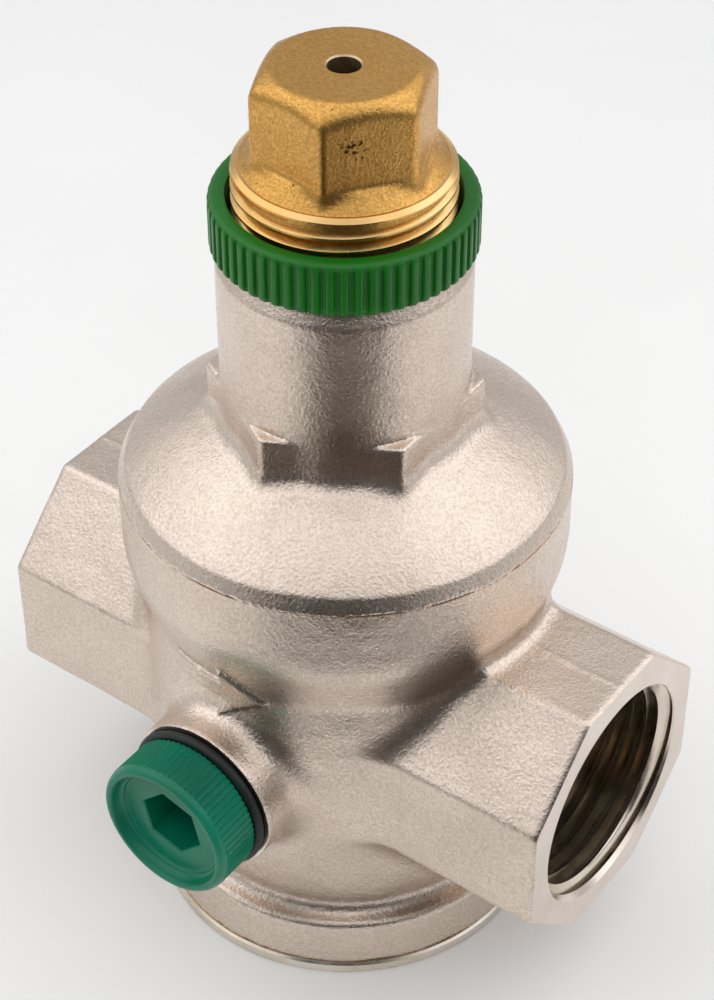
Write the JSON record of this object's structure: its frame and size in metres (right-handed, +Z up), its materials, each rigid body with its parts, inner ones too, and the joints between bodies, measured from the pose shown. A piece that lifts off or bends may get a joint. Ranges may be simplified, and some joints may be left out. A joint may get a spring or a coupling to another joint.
{
  "type": "water pressure regulator",
  "caption": "In-line spring-loaded water pressure reducing valve with octagonal threaded ports, hexagonal adjusting cap, lock ring and plugged gauge port.",
  "frame": {"origin": "centre of the underside of the bottom cover, on the bonnet axis", "axes": "+Z up along the bonnet axis, +X along the line towards the outlet, -Y towards the gauge port"},
  "size_m": [0.0734, 0.059, 0.1088],
  "materials": {
    "blasted_nickel": "shot-blasted nickel plate over forged brass",
    "blasted_brass": "shot-blasted forging with turned thread",
    "machined_brass": "turned",
    "stainless_steel": "turned",
    "spring_steel": "oiled wire",
    "black_rubber": "smooth",
    "white_plastic": "waxy",
    "green_plastic": "satin",
    "teal_plastic": "satin"
  },
  "bodies": {
    "valve_body": {"body": "blasted_nickel", "bonnet": "blasted_nickel", "bottom_cover": "blasted_nickel", "bottom_cover_seal": "black_rubber", "balance_seal": "black_rubber", "seat_ring": "stainless_steel", "seat_ring_seal": "black_rubber"},
    "shut_off": {"piston": "machined_brass", "piston_seal": "black_rubber", "piston_guide_ring": "white_plastic", "piston_washer": "stainless_steel", "piston_nut": "stainless_steel", "valve_stem": "stainless_steel", "stem_seal": "black_rubber", "disc_holder": "machined_brass", "valve_gasket": "black_rubber", "gasket_washer": "stainless_steel"},
    "spring_carrier": {"spring_plate": "stainless_steel", "thrust_washer": "white_plastic", "adjusting_spring": "spring_steel"},
    "cap": {"adjusting_cap": "blasted_brass"},
    "ring": {"lock_ring": "green_plastic"},
    "plug_carrier": {"gauge_plug_seal": "black_rubber"},
    "plug": {"gauge_plug": "teal_plastic"}
  },
  "joints": [
    {"name": "piston_slide", "type": "slide", "parent": "valve_body", "child": "shut_off", "axis": [0, 0, 1], "range_m": [0, 0.0019], "stiffness_N_per_m": 4000, "springref_m": -0.001, "deforming": ["adjusting_spring"]},
    {"name": "cap_travel", "type": "slide", "parent": "valve_body", "child": "spring_carrier", "axis": [0, 0, 1], "range_m": [-0.003, 0.0045]},
    {"name": "cap_turn", "type": "hinge", "parent": "spring_carrier", "child": "cap", "pos_m": [0, 0, 0.09], "axis": [0, 0, 1], "range_deg": [-720, 1080]},
    {"name": "ring_turn", "type": "hinge", "parent": "valve_body", "child": "ring", "pos_m": [0, 0, 0.0915], "axis": [0, 0, 1], "range_deg": [0, 360]},
    {"name": "plug_travel", "type": "slide", "parent": "valve_body", "child": "plug_carrier", "axis": [0, -1, 0], "range_m": [0, 0.00802]},
    {"name": "plug_turn", "type": "hinge", "parent": "plug_carrier", "child": "plug", "pos_m": [0, -0.03, 0.0294], "axis": [0, -1, 0], "range_deg": [0, 2160]}
  ],
  "couplings": [
    {"joint": "cap_turn", "follows": "cap_travel", "rad_per_m": 4188.8},
    {"joint": "plug_turn", "follows": "plug_travel", "rad_per_m": 4699.5}
  ]
}
